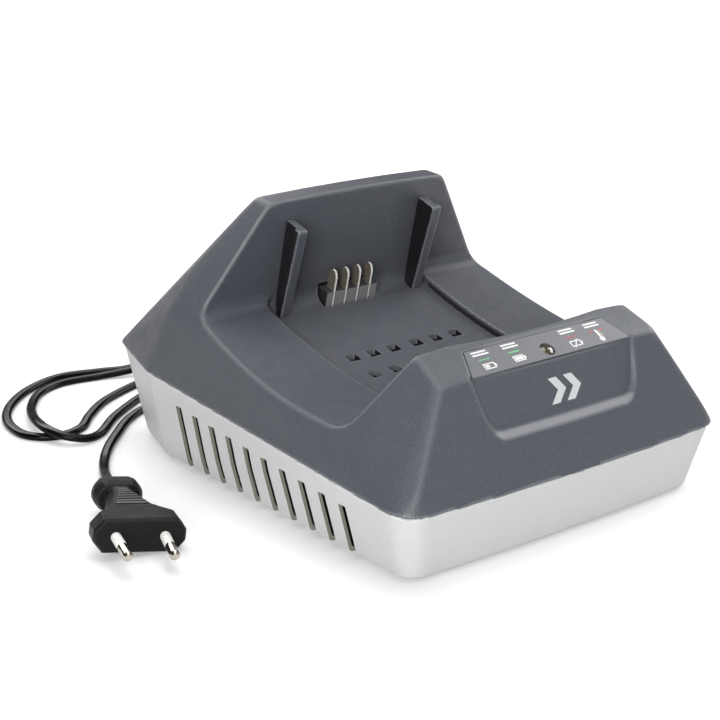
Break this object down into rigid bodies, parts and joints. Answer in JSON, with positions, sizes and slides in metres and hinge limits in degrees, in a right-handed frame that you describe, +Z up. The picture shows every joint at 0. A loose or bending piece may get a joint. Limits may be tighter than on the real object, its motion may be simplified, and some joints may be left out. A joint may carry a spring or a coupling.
{
  "type": "power tool battery charger",
  "caption": "Mains battery charger for a slide-on tool battery: sloping bay with guide ribs and contact blades, status lamp label, vented tub and flat two-pin lead.",
  "frame": {"origin": "on the surface it stands on, under the middle of the body", "axes": "+Z up, -Y towards the front with the status label, +X towards the right side seen from the front"},
  "size_m": [0.2376, 0.3189, 0.1155],
  "materials": {
    "shell": "fine grained charcoal",
    "rib": "moulded black",
    "tub": "fine grained light grey",
    "label": "smooth printed film",
    "lens": "clear smoked",
    "laminate": "solder mask",
    "led_epoxy": "clear",
    "black_plastic": "moulded",
    "nickel": "nickel plated",
    "ferrite": "dull",
    "winding_tape": "tape",
    "capacitor_sleeve": "shrunk sleeve",
    "aluminium": "extruded",
    "choke_core": "coated",
    "fuse_glass": "clear",
    "film_box": "moulded",
    "terminal_green": "moulded",
    "zinc_steel": "zinc plated",
    "cord_pvc": "satin flexible plastic",
    "foot_rubber": "soft",
    "wire_red": "insulation",
    "wire_yellow": "insulation",
    "wire_blue": "insulation",
    "sleeve_white": "moulded"
  },
  "bodies": {
    "body": {"top_shell": "shell", "guide_ribs": "rib", "base_shell": "tub", "indicator_label": "label", "status_lens": "lens", "led_board": "laminate", "indicator_led": "led_epoxy", "terminal_block": "black_plastic", "contact_blades": "nickel", "main_pcb": "laminate", "transformer_core": "ferrite", "transformer_winding": "winding_tape", "bulk_capacitor": "capacitor_sleeve", "output_capacitors": "capacitor_sleeve", "heatsink": "aluminium", "switching_transistors": "black_plastic", "input_choke": "choke_core", "fuse": "fuse_glass", "film_capacitor": "film_box", "mains_terminal": "terminal_green", "control_chip": "black_plastic", "cord_clamp": "black_plastic", "clamp_screws": "zinc_steel", "strain_relief": "cord_pvc", "fan_frame": "black_plastic", "fan_screws": "zinc_steel", "case_screws": "zinc_steel", "pcb_screws": "zinc_steel", "rubber_feet": "foot_rubber", "contact_wires": "wire_red", "led_wires": "wire_yellow", "inner_lead": "cord_pvc", "mains_wires": "wire_blue", "mains_cord": "cord_pvc", "cord_coil": "cord_pvc", "plug_body": "cord_pvc", "plug_pins": "nickel", "pin_sleeves": "sleeve_white"},
    "fan_rotor": {"fan_rotor": "black_plastic"}
  },
  "joints": [
    {"name": "fan_spin", "type": "hinge", "parent": "body", "child": "fan_rotor", "pos_m": [0, -0.017, 0.0345], "axis": [0, 0, 1], "continuous": true}
  ]
}
